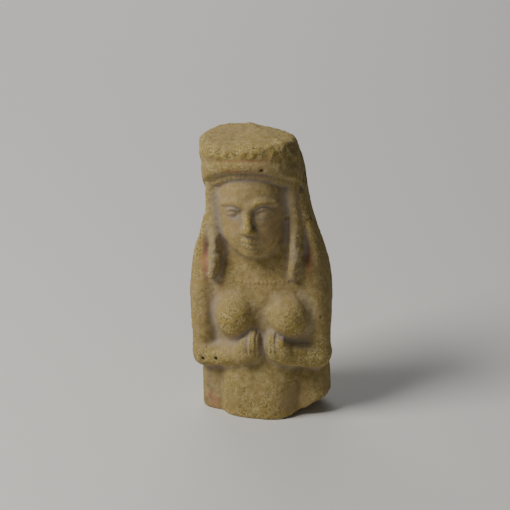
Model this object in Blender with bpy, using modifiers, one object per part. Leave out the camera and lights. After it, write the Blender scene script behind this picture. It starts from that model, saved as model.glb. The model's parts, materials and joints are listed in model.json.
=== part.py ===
"""A fired-clay figurine of a nude woman, the upper half that is left of it, broken off below the hands.

She wears a flat-topped hat with a veil down her back, two long locks of hair and a string of beads, and holds
her hands under her breasts. The piece is one solid of clay, pressed in a mould in front and smoothed by hand
behind, and it stands on its break, leaning a little to its right.

Metres, +Z up, the figure faces -Y, the origin is the middle of the underside of its box. The blank of clay is
a box with an even skin. It is pressed on to the form, which the functions below describe as a signed
distance: below zero inside the clay and zero on its skin.
"""

import math

import bmesh
import bpy
import numpy as np

# Driving sizes, in millimetres.
FIGURE_HEIGHT = 100.0
MILLIMETRE = 0.001
LEAN = math.radians(3.5)
TRIANGLES = 9400

# Levels up the figure. These and all the places and sizes below are in hundredths of its height.
HAT_TOP = 100.0
HAIRLINE = 88.6
CHIN = 60.2
BEAD_LINE = 49.6
BREAST_LINE = 37.2
HAND_LINE = 26.4
ELBOW_LINE = 20.8
BREAK_LINE = -4.0

# Thirds of the face, as any handbook gives them.
FACE_THIRD = (HAIRLINE - CHIN) / 3
BROW_LINE = CHIN + 2 * FACE_THIRD
NOSE_BASE = CHIN + FACE_THIRD
EYE_LINE = BROW_LINE - 0.28 * FACE_THIRD
MOUTH_LINE = NOSE_BASE - FACE_THIRD / 3
FACE_HALF_WIDTH = 12.1
EYE_WIDTH = 2 * FACE_HALF_WIDTH / 5

# Places across and in depth.
HAT_HALF_WIDTH = 16.8
HAT_X = -1.1
HAT_FRONT = -14.8
BACK = 12.0
HAT_BORDER_FRONT = HAIRLINE + 3.2
HAT_BORDER_FALL = 0.79
DIADEM_HEIGHT = 2.2
VEIL_HALF_WIDTH = 23.8
HEAD_X = -0.9
HAIR_X = 13.5
LOCK_X = 13.8
LOCKS_MIDDLE = -0.2
LOCK_SWING = -1.5
BREAST_X = 9.0
CHEST_X = 0.7
ELBOW_X = 19.9
ARMS_X = -0.9
WAIST_X = -1.3
HANDS_MEET = 1.1

# The blank and how finely it is pressed.
BLANK_SIZE = np.array([60.0, 42.0, 106.0])
BLANK_MIDDLE = np.array([-2.0, -3.0, 50.0])
BLANK_GRAIN = 1.3
SKIN_GRAINS = (1.2, 0.9, 0.55)
SPINE_FOOT = np.array([-0.5, -1.0, 12.0])
SPINE_HEAD = np.array([-5.0, -1.0, 90.0])
SPINE_SPREAD = 0.62
RAY_STEP = 0.8
HALVINGS = 6
FOOT_CUT = 0.3

CLAY_COLOUR = (0.52, 0.41, 0.25, 1.0)
CLAY_ROUGHNESS = 0.9
SIDES = (-1, 1)


def smooth_min(a, b, blend):
    """The smaller of two distances, with the crease between them filled over a width of blend."""
    overlap = np.maximum(blend - np.abs(a - b), 0.0) / blend
    return np.minimum(a, b) - overlap * overlap * blend / 4


def smooth_max(a, b, blend):
    return -smooth_min(-a, -b, blend)


def fade(value, start, end):
    """Rises from 0 at start to 1 at end, also where end lies below start."""
    return np.clip((value - start) / (end - start), 0.0, 1.0)


def curve(at, knots, values):
    """A smooth curve that passes through the values at the knots."""
    knots = np.asarray(knots, float)
    values = np.asarray(values, float)
    slope = np.gradient(values, knots)
    at = np.clip(at, knots[0], knots[-1])
    i = np.clip(np.searchsorted(knots, at) - 1, 0, len(knots) - 2)
    step = knots[i + 1] - knots[i]
    t = (at - knots[i]) / step
    start = (1 + 2 * t) * (1 - t) ** 2 * values[i] + t * (1 - t) ** 2 * step * slope[i]
    end = t * t * (3 - 2 * t) * values[i + 1] + t * t * (t - 1) * step * slope[i + 1]
    return start + end


def lumps(points, size, seed):
    """Soft unevenness from -1 to 1 whose lumps are size across: values on a lattice, blended between."""
    place = points / size + seed * 17.31
    cell = np.floor(place).astype(np.int64)
    part = place - cell
    part = part * part * (3 - 2 * part)
    total = np.zeros(len(points))
    for corner in range(8):
        offset = np.array([corner & 1, corner >> 1 & 1, corner >> 2 & 1])
        key = (cell + offset) @ np.array([73856093, 19349663, 83492791])
        key = (key ^ (key >> 13)) * 1274126177 & 0x7FFFFFFF
        weight = np.prod(np.where(offset, part, 1 - part), axis=1)
        total += weight * (key % 65536 / 32768 - 1)
    return total


class Form:
    """A shape: the box that it lies in and its distance function."""

    def __init__(self, low, high, distance):
        self.low = np.array(low, float)
        self.high = np.array(high, float)
        self.distance = distance


def ellipsoid(centre, radii, roll=0.0):
    """An egg shape, rolled about Y by roll degrees."""
    centre = np.array(centre, float)
    radii = np.array(radii, float)
    c, s = math.cos(math.radians(roll)), math.sin(math.radians(roll))
    turn = np.array([[c, 0, s], [0, 1, 0], [-s, 0, c]])

    def distance(points):
        local = (points - centre) @ turn
        k0 = np.linalg.norm(local / radii, axis=1)
        k1 = np.linalg.norm(local / radii**2, axis=1)
        return k0 * (k0 - 1) / np.maximum(k1, 1e-6)

    return Form(centre - radii.max(), centre + radii.max(), distance)


def limb(points, radii, depth=1.0):
    """A round roll of clay through points, with a radius at each. depth stretches its section in Y."""
    path = np.array(points, float)
    radii = np.array(radii, float)
    stretch = np.array([1.0, 1.0 / depth, 1.0])

    def distance(at):
        nearest = np.full(len(at), np.inf)
        for a, b, radius_a, radius_b in zip(path[:-1], path[1:], radii[:-1], radii[1:]):
            from_a, along = (at - a) * stretch, (b - a) * stretch
            share = np.clip(from_a @ along / (along @ along), 0, 1)
            gap = np.linalg.norm(from_a - share[:, None] * along, axis=1)
            nearest = np.minimum(nearest, gap - radius_a - share * (radius_b - radius_a))
        return nearest

    reach = radii.max() * np.array([1.0, depth, 1.0])
    return Form(path.min(0) - reach, path.max(0) + reach, distance)


def bow(start, middle, end, radii, depth=1.0):
    """A limb along the smooth curve through three points."""
    t = np.linspace(0, 1, 9)
    shares = np.stack([(1 - t) * (1 - 2 * t), 4 * t * (1 - t), t * (2 * t - 1)], axis=1)
    return limb(shares @ np.array([start, middle, end]), shares @ np.array(radii), depth)


def column(profile, front_square, back_square):
    """An upright body of oval sections. A row of the profile is height, middle, half width, front, back.
    The squareness of a section is 2 for an ellipse and more for a fuller corner."""
    heights, middles, half_widths, fronts, backs = np.array(profile, float).T

    def distance(points):
        x, y, z = points.T
        half_width, middle_x = curve(z, heights, half_widths), curve(z, heights, middles)
        front, back = curve(z, heights, fronts), curve(z, heights, backs)
        middle, half_depth = (front + back) / 2, (back - front) / 2
        n = np.where(y < middle, front_square, back_square)
        u, v = np.abs(x - middle_x) / half_width, np.abs(y - middle) / half_depth
        r = np.maximum((u**n + v**n) ** (1 / n), 1e-6)
        steepness = np.hypot((u / r) ** (n - 1) / half_width, (v / r) ** (n - 1) / half_depth)
        side = (r - 1) / np.maximum(steepness, 1e-6)
        return smooth_max(side, np.maximum(heights[0] - z, z - heights[-1]), 1.5)

    low = ((middles - half_widths).min(), fronts.min(), heights[0])
    high = ((middles + half_widths).max(), backs.max(), heights[-1])
    return Form(low, high, distance)


class Clay:
    """The forms in the order in which they are put on, cut away or drawn over."""

    REACH = 3.0

    def __init__(self):
        self.steps = []

    def add(self, form, blend):
        self.steps.append((form, lambda skin, other: smooth_min(skin, other, blend), blend))

    def cut(self, form, blend):
        self.steps.append((form, lambda skin, other: smooth_max(skin, -other, blend), blend))

    def raise_by(self, relief, low, high):
        """Raises the skin inside a box by what relief gives for each point."""
        self.steps.append((Form(low, high, relief), lambda skin, height: skin - height, -self.REACH))

    def distance(self, points):
        skin = np.full(len(points), 60.0)
        for form, combine, blend in self.steps:
            reach = blend + self.REACH
            near = np.all((points > form.low - reach) & (points < form.high + reach), axis=1)
            if near.any():
                skin[near] = combine(skin[near], form.distance(points[near]))
        return skin


def add_veil(clay):
    """The veil down her back, which is the slab that the whole figure is raised from."""
    profile = [
        (BREAK_LINE, -1.0, VEIL_HALF_WIDTH - 1.6, -9.4, BACK - 0.6),
        (BREAK_LINE + 10, -1.1, VEIL_HALF_WIDTH - 1.7, -9.0, BACK - 0.2),
        (ELBOW_LINE - 5, -1.1, VEIL_HALF_WIDTH - 1.9, -7.2, BACK + 0.4),
        (ELBOW_LINE + 5, -1.1, VEIL_HALF_WIDTH - 1.2, -5.4, BACK + 0.9),
        (BREAST_LINE, -1.1, VEIL_HALF_WIDTH, -4.6, BACK + 1.2),
        (BEAD_LINE, -1.1, VEIL_HALF_WIDTH - 0.1, -4.6, BACK + 1.0),
        (CHIN - 1, -1.0, VEIL_HALF_WIDTH - 2, -4.8, BACK + 0.4),
        (CHIN + 7, -0.5, FACE_HALF_WIDTH + 6.7, -4.2, BACK),
        (EYE_LINE, -0.2, FACE_HALF_WIDTH + 4.6, -3.4, BACK),
        (HAIRLINE, -0.4, FACE_HALF_WIDTH + 3.6, -2.8, BACK + 0.2),
        (HAT_TOP - 3, -1.2, HAT_HALF_WIDTH - 2.8, -2.6, BACK - 0.6),
    ]
    clay.add(column(profile, 4.6, 2.6), 0.1)


def add_torso(clay):
    inside = 5.0
    belly = [
        (BREAK_LINE, WAIST_X - 0.9, 13.4, -13.9, inside),
        (BREAK_LINE + 8, WAIST_X - 0.7, 13.5, -14.5, inside),
        (BREAK_LINE + 15, WAIST_X - 0.3, 13.5, -14.4, inside),
        (ELBOW_LINE, WAIST_X, 13.4, -12.8, inside),
        (BREAST_LINE - 7, WAIST_X, 14.2, -11.2, inside),
    ]
    chest = [
        (ELBOW_LINE + 1, 0, 16.2, -10.4, inside),
        (BREAST_LINE - 5, 0, 17.0, -10.8, inside),
        (BREAST_LINE + 3, 0, 17.4, -10.4, inside),
        (BEAD_LINE - 1.6, 0, 18.2, -9.6, inside),
        (BEAD_LINE + 4.4, 0, 17.6, -8.6, inside),
        (CHIN, 0, 16.0, -7.8, inside),
        (CHIN + 7, 0, 13.0, -7.0, inside),
    ]
    clay.add(column(belly, 2.5, 2.4), 0.9)
    clay.add(column(chest, 2.6, 2.4), 2.0)


def add_arm(clay, side):
    shoulder = (side * 17.4 + ARMS_X, -3.6, BEAD_LINE + 4.4)
    middle = (side * 19.4 + ARMS_X, -4.0, BREAST_LINE + 7)
    elbow = (side * ELBOW_X + ARMS_X, -5.2, ELBOW_LINE + 2.4)
    clay.add(limb([shoulder, middle, elbow], [4.4, 4.6, 4.2]), 3.0)
    inner_elbow = (side * (ELBOW_X - 0.4) + ARMS_X, -6.4, ELBOW_LINE + 0.5)
    forearm = (side * 14.4 + ARMS_X / 2, -9.0, ELBOW_LINE + 1.4)
    wrist = (side * 7.6 + HANDS_MEET, -12.2, HAND_LINE - 2.2)
    clay.add(limb([inner_elbow, forearm, wrist], [3.9, 3.6, 3.4]), 2.6)


def add_breast(clay, side):
    clay.add(ellipsoid((side * BREAST_X + CHEST_X, -8.6, BREAST_LINE), (6.9, 7.3, 7.6)), 3.0)


def add_hand(clay, side):
    """A hand that comes in from the side: its fist, fingers up against the breast and the thumb by them."""
    fist_x, fingers_x = side * 4.9 + HANDS_MEET, side * 3.4 + HANDS_MEET
    clay.add(ellipsoid((fist_x, -12.2, HAND_LINE - 0.4), (4.1, 4.1, 4.2), roll=side * 8), 1.8)
    clay.add(ellipsoid((fingers_x, -12.2, HAND_LINE + 2.2), (2.7, 4.2, 4.4)), 1.5)
    heel = (side * 7.4 + HANDS_MEET, -13.6, HAND_LINE)
    thumb_tip = (side * 6.4 + HANDS_MEET, -14.6, HAND_LINE + 3.0)
    clay.add(limb([heel, thumb_tip], [1.9, 1.3], depth=1.1), 1.8)


def finger_relief(points):
    """The shallow grooves between the fingers of each hand and the row of their knuckles."""
    x, y, z = points.T
    finger_width, groove_depth, knuckle_height = 1.4, 0.34, 0.2
    across = np.abs(x - HANDS_MEET)
    on_fingers = fade(across, 5.8, 5.0) * fade(across, 0.5, 1.1)
    upright_part = fade(z, HAND_LINE - 1.6, HAND_LINE + 0.6) * fade(z, HAND_LINE + 7.0, HAND_LINE + 5.6)
    groove = np.cos(2 * math.pi * across / finger_width)
    knuckle = np.exp(-(((z - HAND_LINE - 1.6) / 1.2) ** 2))
    return (knuckle_height * knuckle + groove_depth * (groove - 1) / 2) * on_fingers * upright_part


def add_head(clay):
    skull = ellipsoid((HEAD_X, -4.0, EYE_LINE + 0.1), (FACE_HALF_WIDTH, 11.2, 17.5))
    jaw = ellipsoid((HEAD_X, -7.0, CHIN + 7.0), (9.5, 8.5, 7.6))
    chin = ellipsoid((HEAD_X, -12.6, CHIN + 2.4), (3.4, 2.9, 2.5))
    clay.add(skull, 1.6)
    clay.add(jaw, 3.0)
    clay.add(chin, 2.0)


def add_eye(clay, side):
    """A calm almond eye under an even brow."""
    x = HEAD_X + side * EYE_WIDTH * 1.04
    half = EYE_WIDTH * 0.58
    clay.cut(ellipsoid((x, -16.3, EYE_LINE + 0.4), (4.2, 2.6, 2.6), roll=side * 3), 1.8)
    brow_start = (HEAD_X + side * 1.7, -14.6, BROW_LINE + 0.3)
    brow_middle = (x - side * 0.2, -14.0, BROW_LINE + 1.3)
    brow_end = (x + side * 4.4, -11.3, BROW_LINE + 0.1)
    clay.add(bow(brow_start, brow_middle, brow_end, (0.8, 0.85, 0.5)), 1.8)
    clay.add(ellipsoid((x, -11.7, EYE_LINE), (half, 2.6, 1.7)), 0.5)
    inner, outer = (x - side * half, -13.5, EYE_LINE - 0.2), (x + side * (half + 0.4), -12.0, EYE_LINE - 0.1)
    for rise, radius in ((1.75, 0.52), (-1.5, 0.4)):
        clay.add(bow(inner, (x, -14.2, EYE_LINE + rise), outer, (0.75 * radius, radius, 0.75 * radius)), 0.5)


def add_nose(clay):
    root, bridge = (HEAD_X, -13.9, BROW_LINE), (HEAD_X, -15.4, EYE_LINE - 0.8)
    tip = (HEAD_X, -17.2, NOSE_BASE + 1.9)
    clay.add(limb([root, bridge, tip], [1.3, 1.35, 1.7]), 1.3)
    for side in SIDES:
        clay.add(ellipsoid((HEAD_X + side * 1.6, -15.7, NOSE_BASE + 1.1), (1.1, 1.5, 1.1)), 0.9)


def add_mouth(clay):
    """Closed lips, the upper with a soft dip in its middle."""
    left, right = HEAD_X - 3.5, HEAD_X + 3.5
    dip = (HEAD_X, -15.6, MOUTH_LINE + 0.45)
    for side, corner in zip(SIDES, (left, right)):
        peak = (HEAD_X + side * 1.5, -15.2, MOUTH_LINE + 0.75)
        clay.add(bow((corner, -13.7, MOUTH_LINE), peak, dip, (0.35, 0.72, 0.7)), 0.7)
    lower_start, lower_end = (left + 0.5, -13.8, MOUTH_LINE - 0.6), (right - 0.5, -13.8, MOUTH_LINE - 0.6)
    clay.add(bow(lower_start, (HEAD_X, -15.2, MOUTH_LINE - 1.3), lower_end, (0.4, 0.95, 0.4)), 0.7)
    parting_start, parting_end = (left, -14.5, MOUTH_LINE - 0.1), (right, -14.5, MOUTH_LINE - 0.1)
    clay.cut(bow(parting_start, (HEAD_X, -16.5, MOUTH_LINE - 0.25), parting_end, (0.2, 0.3, 0.2)), 0.35)


def add_hair(clay, side):
    """Hair down the side of the face, which ends in a thick lock in front of the shoulder."""
    x = side * LOCK_X + LOCKS_MIDDLE
    strand_x = side * HAIR_X + HEAD_X
    fall = [(strand_x, -4.0, HAIRLINE), (strand_x, -4.4, EYE_LINE), (x, -5.4, CHIN + 9), (x, -6.4, CHIN + 1)]
    lock = [(x, -6.8, CHIN + 6), (x + 0.1 * LOCK_SWING, -7.8, CHIN),
            (x + 0.6 * LOCK_SWING, -8.6, BEAD_LINE + 6), (x + LOCK_SWING, -8.8, BEAD_LINE + 2.4)]
    clay.add(limb(fall, [2.6, 2.6, 2.5, 2.2], depth=1.25), 2.6)
    clay.add(limb(lock, [1.9, 2.2, 1.95, 1.5], depth=1.7), 1.0)


def add_veil_edge(clay, side):
    by_face, by_arm = side * FACE_HALF_WIDTH, side * VEIL_HALF_WIDTH
    edge = [(by_face + side * 3.1, -3.0, EYE_LINE + 3), (by_face + side * 3.6, -3.3, EYE_LINE - 2),
            (by_face + side * 5.8, -3.9, CHIN + 7),
            (by_arm - side * 4.2 + ARMS_X / 2, -4.2, CHIN - 2),
            (by_arm - side * 3.4 + ARMS_X, -3.6, BEAD_LINE)]
    clay.add(limb(edge, [1.4, 1.5, 1.6, 1.7, 1.7]), 2.2)


def hat_border(y):
    """The height of the hat's lower border, which falls towards the back of the head."""
    return HAT_BORDER_FRONT - HAT_BORDER_FALL * (y - HAT_FRONT)


def add_hat(clay):
    """A low flat hat: a plain band below, a worn wreath above, and a narrow diadem under its border."""
    low, high = CHIN, HAT_TOP + 4
    body = column([(low, HAT_X, HAT_HALF_WIDTH - 0.5, HAT_FRONT + 0.3, BACK),
                   (HAIRLINE - 4, HAT_X, HAT_HALF_WIDTH, HAT_FRONT, BACK),
                   (HAIRLINE + 4, HAT_X - 0.4, HAT_HALF_WIDTH - 0.3, HAT_FRONT, BACK),
                   (high, HAT_X - 1.3, HAT_HALF_WIDTH - 1.4, HAT_FRONT, BACK)], 2.3, 2.2)
    inner = column([(low, HAT_X + 0.3, HAT_HALF_WIDTH - 1.8, HAT_FRONT + 1.9, BACK),
                    (high, HAT_X + 0.3, HAT_HALF_WIDTH - 1.4, HAT_FRONT + 1.7, BACK)], 2.1, 2.4)
    rim_levels = (-1, -0.05, 0.05, 0.36, 0.41, 0.46, 0.55, 0.85, 0.95, 2)
    rim_heights = (-0.15, -0.15, 0.05, 0.0, -0.15, -0.15, 0.05, 0.2, 0.1, 0.1)
    tick, tick_depth = 1.7, 0.06

    def hat(points):
        x, y, z = points.T
        border = hat_border(y)
        level = (z - border) / (HAT_TOP - border)
        clumps = 0.45 * lumps(points, 2.5, 11) + 0.25 * lumps(points, 1.5, 12)
        wreath = clumps * fade(level, 0.48, 0.6) * fade(y, 4, -4)
        side = body.distance(points) - curve(level, rim_levels, rim_heights) - wreath
        worn_slope = 0.26 * np.maximum(0.8 * x + 0.6 * y - 4.0, 0)
        top = z - HAT_TOP + worn_slope + 0.25 * lumps(points, 7.0, 3)
        return smooth_max(smooth_max(side, top, 2.2), (border - z) * 0.83, 0.8)

    def diadem(points):
        x, y, z = points.T
        border = hat_border(y)
        worn_tick = tick_depth * (1 + lumps(points, 4.0, 6)) * np.cos(2 * math.pi * x / tick)
        side = inner.distance(points) - worn_tick - 0.1 * lumps(points, 1.6, 8)
        under = (border - DIADEM_HEIGHT - z) * 0.83
        return smooth_max(smooth_max(side, z - HAT_TOP + 4, 1.0), under, 0.9)

    box_low = (HAT_X - HAT_HALF_WIDTH - 1, HAT_FRONT - 1, CHIN + 9.8)
    box_high = (HAT_X + HAT_HALF_WIDTH + 1, BACK + 1, HAT_TOP + 1)
    clay.add(Form(box_low, box_high, diadem), 0.3)
    clay.add(Form(box_low, box_high, hat), 0.25)


def bead_relief(points):
    """A string of small worn beads across the chest, from lock to lock."""
    x, y, z = points.T
    spacing, string_height, bead_height, half_length = 1.45, 0.3, 0.16, 12.8
    line = BEAD_LINE + 0.006 * x * x
    beads = string_height + bead_height * np.cos(2 * math.pi * x / spacing) + 0.14 * lumps(points, 2.4, 14)
    return np.exp(-(((z - line) / 0.65) ** 2)) * beads * fade(np.abs(x + 0.8), half_length, half_length - 1.5)


def lock_relief(points):
    """The worn waves of the long locks."""
    x, y, z = points.T
    wave_height, relief = 3.3, 0.07
    across = np.abs(x - LOCKS_MIDDLE - LOCK_SWING * fade(z, CHIN, BEAD_LINE + 2))
    on_lock = fade(across, LOCK_X - 2.8, LOCK_X - 1.8) * fade(across, LOCK_X + 3.0, LOCK_X + 2.0)
    below_jaw = fade(z, CHIN + 7, CHIN + 3)
    waves = relief * np.cos(2 * math.pi * (z + 0.5 * across) / wave_height) + 0.32 * lumps(points, 2.3, 4)
    return waves * on_lock * below_jaw


def wear(points):
    """What hand and time did to the whole skin, and the hand's broad strokes down the back."""
    behind = fade(points[:, 1], 2, 10)
    strokes = 0.35 * lumps(points * np.array([1.0, 1.0, 0.4]), 9.0, 7) * behind
    return -0.22 * lumps(points, 8.0, 2) - 0.1 * lumps(points, 3.2, 9) - strokes


def whole_figure():
    clay = Clay()
    add_veil(clay)
    add_torso(clay)
    for side in SIDES:
        add_arm(clay, side)
        add_breast(clay, side)
    for side in SIDES:
        add_hand(clay, side)
    add_head(clay)
    for side in SIDES:
        add_eye(clay, side)
    add_nose(clay)
    add_mouth(clay)
    for side in SIDES:
        add_hair(clay, side)
        add_veil_edge(clay, side)
    add_hat(clay)
    clay.raise_by(finger_relief, (-8, -20, HAND_LINE - 4), (10, -10, HAND_LINE + 8))
    clay.raise_by(bead_relief, (-14, -20, BEAD_LINE - 3), (14, 0, BEAD_LINE + 3))
    clay.raise_by(lock_relief, (-19, -16, BEAD_LINE - 2), (18, -6.5, CHIN + 7))
    clay.raise_by(wear, (-HAT_TOP,) * 3, (2 * HAT_TOP,) * 3)
    return clay


def upright(points):
    """Points of the leaning figure, turned back into its own upright frame."""
    c, s = math.cos(LEAN), math.sin(LEAN)
    x, y, z = points.T
    return np.stack([x * c + z * s, y, z * c - x * s], axis=1)


def standing_figure(clay, points):
    """The leaning figure, cut off at the face that it stands on and broken away higher at its left hip."""
    x, y, z = points.T
    chip_start, chip_rise, chip_turn = 6.0, 0.31, 0.25
    skin = clay.distance(upright(points))
    rise = chip_rise * np.maximum(x - chip_start - chip_turn * (y + 8), 0) ** 1.2
    rise += 0.3 * lumps(points, 3.0, 5) * fade(rise, 0.4, 1.5)
    skin = smooth_max(skin, rise - z, 0.8)
    return smooth_max(skin, -z, 0.6)


def get_points(mesh):
    flat = np.empty(len(mesh.vertices) * 3, np.float32)
    mesh.vertices.foreach_get("co", flat)
    return flat.reshape(-1, 3).astype(float)


def set_points(mesh, points):
    mesh.vertices.foreach_set("co", points.astype(np.float32).ravel())
    mesh.update()


def keep_result(obj):
    """Makes what the object's modifier gives its own mesh."""
    depsgraph = bpy.context.evaluated_depsgraph_get()
    mesh = bpy.data.meshes.new_from_object(obj.evaluated_get(depsgraph))
    obj.modifiers.clear()
    old = obj.data
    obj.data = mesh
    bpy.data.meshes.remove(old)


def even_skin(obj, grain):
    """Gives the object an even skin of square faces, grain across."""
    remesh = obj.modifiers.new("even_skin", "REMESH")
    remesh.mode = "VOXEL"
    remesh.voxel_size = grain
    keep_result(obj)


def make_blank(collection):
    """The block of clay that the figure is pressed from."""
    bm = bmesh.new()
    bmesh.ops.create_cube(bm, size=1.0)
    bmesh.ops.scale(bm, vec=BLANK_SIZE, verts=bm.verts)
    bmesh.ops.translate(bm, vec=BLANK_MIDDLE, verts=bm.verts)
    mesh = bpy.data.meshes.new("figurine_blank")
    bm.to_mesh(mesh)
    bm.free()
    blank = bpy.data.objects.new("figurine", mesh)
    collection.objects.link(blank)
    even_skin(blank, BLANK_GRAIN)
    return blank


def press(obj, distance):
    """Moves each point of the blank in, towards a ribbon that stands in the figure, up to the form."""
    start = get_points(obj.data)
    spine = SPINE_HEAD - SPINE_FOOT
    share = np.clip((start - SPINE_FOOT) @ spine / (spine @ spine), 0, 1)
    target = SPINE_FOOT + share[:, None] * spine
    target[:, 0] += SPINE_SPREAD * (start[:, 0] - target[:, 0]) * fade(start[:, 2], -2, 8)
    ray = target - start
    length = np.linalg.norm(ray, axis=1)
    ray /= length[:, None]
    met = np.zeros(len(start))
    moving = np.ones(len(start), bool)
    while moving.any():
        moving[moving] = distance(start[moving] + ray[moving] * met[moving, None]) > 0
        moving &= met < length
        met[moving] += RAY_STEP
    outside, inside = np.maximum(met - RAY_STEP, 0), met
    for _ in range(HALVINGS):
        middle = (outside + inside) / 2
        is_in = distance(start + ray * middle[:, None]) < 0
        inside = np.where(is_in, middle, inside)
        outside = np.where(is_in, outside, middle)
    set_points(obj.data, start + ray * inside[:, None])


def settle(obj, distance, times):
    """Moves each point along the slope of the distance, on to the form's skin."""
    probe, longest = 0.15, 0.8
    for _ in range(times):
        points = get_points(obj.data)
        here = distance(points)
        slope = np.stack([distance(points + probe * axis) - here for axis in np.eye(3)], axis=1) / probe
        move = -here[:, None] * slope / np.maximum((slope**2).sum(axis=1), 0.25)[:, None]
        size = np.linalg.norm(move, axis=1, keepdims=True)
        set_points(obj.data, points + move * np.minimum(1, longest / np.maximum(size, 1e-9)))


def drop_crumbs(obj):
    """Keeps the largest body of the mesh and removes any crumb beside it or bubble in it."""
    bm = bmesh.new()
    bm.from_mesh(obj.data)
    unseen = set(bm.verts)
    bodies = []
    while unseen:
        body = {unseen.pop()}
        edge_of_body = list(body)
        while edge_of_body:
            vert = edge_of_body.pop()
            new = {edge.other_vert(vert) for edge in vert.link_edges} & unseen
            unseen -= new
            body |= new
            edge_of_body.extend(new)
        bodies.append(body)
    bodies.sort(key=len)
    for crumb in bodies[:-1]:
        bmesh.ops.delete(bm, geom=list(crumb), context="VERTS")
    bm.to_mesh(obj.data)
    bm.free()


def cut_flat(obj):
    """Cuts the underside to one plane and closes it, so that the piece stands flat."""
    bm = bmesh.new()
    bm.from_mesh(obj.data)
    everything = list(bm.verts) + list(bm.edges) + list(bm.faces)
    plane = {"plane_co": (0, 0, FOOT_CUT), "plane_no": (0, 0, 1)}
    bmesh.ops.bisect_plane(bm, geom=everything, clear_inner=True, **plane)
    rim = [edge for edge in bm.edges if edge.is_boundary]
    bmesh.ops.holes_fill(bm, edges=rim)
    bmesh.ops.triangulate(bm, faces=[face for face in bm.faces if len(face.verts) > 4])
    bmesh.ops.recalc_face_normals(bm, faces=bm.faces)
    bm.to_mesh(obj.data)
    bm.free()


def stand_on_origin(obj):
    """Moves the mesh so that the middle of its box's underside is the origin, and gives it its height."""
    points = get_points(obj.data)
    low, high = points.min(axis=0), points.max(axis=0)
    foot = np.array([(low[0] + high[0]) / 2, (low[1] + high[1]) / 2, low[2]])
    set_points(obj.data, (points - foot) * FIGURE_HEIGHT * MILLIMETRE / (high[2] - low[2]))


def thin_out(obj):
    """Leaves the faces where the carving needs them and few on the plain back."""
    faces = sum(len(face.vertices) - 2 for face in obj.data.polygons)
    decimate = obj.modifiers.new("thin_out", "DECIMATE")
    decimate.ratio = TRIANGLES / faces
    keep_result(obj)


def clay_material():
    material = bpy.data.materials.new("fired_clay")
    material.use_nodes = True
    shader = material.node_tree.nodes["Principled BSDF"]
    shader.inputs["Base Color"].default_value = CLAY_COLOUR
    shader.inputs["Roughness"].default_value = CLAY_ROUGHNESS
    shader.inputs["Metallic"].default_value = 0.0
    return material


def main():
    for obj in list(bpy.data.objects):
        bpy.data.objects.remove(obj)
    collection = bpy.data.collections.new("figurine")
    bpy.context.scene.collection.children.link(collection)
    clay = whole_figure()

    def distance(points):
        return standing_figure(clay, points)

    figurine = make_blank(collection)
    press(figurine, distance)
    for grain in SKIN_GRAINS:
        even_skin(figurine, grain)
        settle(figurine, distance, 3)
    drop_crumbs(figurine)
    thin_out(figurine)
    cut_flat(figurine)
    stand_on_origin(figurine)
    figurine.data.shade_smooth()
    figurine.data.materials.append(clay_material())


main()
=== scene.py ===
"""The looks of a fired-clay figurine of a nude woman, the upper half that is left of it, on a pale floor.

The clay is modelled again from the named sizes of the solid, with a skin fine enough for the worn carving.
It then gets its sandy crust, its dents, its rests of paint and its colours. Metres, the figure faces -Y and
stands on z = 0. The form is described as a signed distance: below zero inside the clay and zero on its skin.
"""

import json
import math

import bmesh
import bpy
import numpy as np
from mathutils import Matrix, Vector

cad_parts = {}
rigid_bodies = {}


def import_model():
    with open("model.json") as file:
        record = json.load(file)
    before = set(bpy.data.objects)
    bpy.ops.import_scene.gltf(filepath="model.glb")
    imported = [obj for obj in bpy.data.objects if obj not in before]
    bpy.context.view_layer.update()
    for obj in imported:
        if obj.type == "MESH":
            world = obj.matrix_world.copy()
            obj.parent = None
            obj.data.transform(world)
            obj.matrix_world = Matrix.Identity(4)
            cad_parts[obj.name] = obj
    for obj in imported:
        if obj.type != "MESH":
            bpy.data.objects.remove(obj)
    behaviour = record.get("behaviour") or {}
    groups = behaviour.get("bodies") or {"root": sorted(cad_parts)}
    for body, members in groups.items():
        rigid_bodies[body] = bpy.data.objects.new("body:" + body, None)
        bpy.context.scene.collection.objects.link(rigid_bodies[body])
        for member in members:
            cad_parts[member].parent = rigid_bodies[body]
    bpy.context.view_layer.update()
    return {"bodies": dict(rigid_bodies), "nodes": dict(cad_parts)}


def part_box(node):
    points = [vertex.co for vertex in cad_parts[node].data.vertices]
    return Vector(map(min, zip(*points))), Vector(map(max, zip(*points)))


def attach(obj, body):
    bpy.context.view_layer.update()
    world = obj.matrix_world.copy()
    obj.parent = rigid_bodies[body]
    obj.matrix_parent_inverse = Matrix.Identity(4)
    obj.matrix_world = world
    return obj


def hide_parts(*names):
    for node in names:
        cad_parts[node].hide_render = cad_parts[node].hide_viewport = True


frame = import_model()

# How far she leans to her right.
LEAN = math.radians(3.5)

# Levels up the figure. These and all the figure's places and sizes below are in hundredths of its height.
HAT_TOP = 100.0
HAIRLINE = 88.6
CHIN = 60.2
BEAD_LINE = 49.6
BREAST_LINE = 37.2
HAND_LINE = 26.4
ELBOW_LINE = 20.8
BREAK_LINE = -4.0

# Thirds of the face, as any handbook gives them.
FACE_THIRD = (HAIRLINE - CHIN) / 3
BROW_LINE = CHIN + 2 * FACE_THIRD
NOSE_BASE = CHIN + FACE_THIRD
EYE_LINE = BROW_LINE - 0.28 * FACE_THIRD
MOUTH_LINE = NOSE_BASE - FACE_THIRD / 3
FACE_HALF_WIDTH = 12.1
EYE_WIDTH = 2 * FACE_HALF_WIDTH / 5

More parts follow.
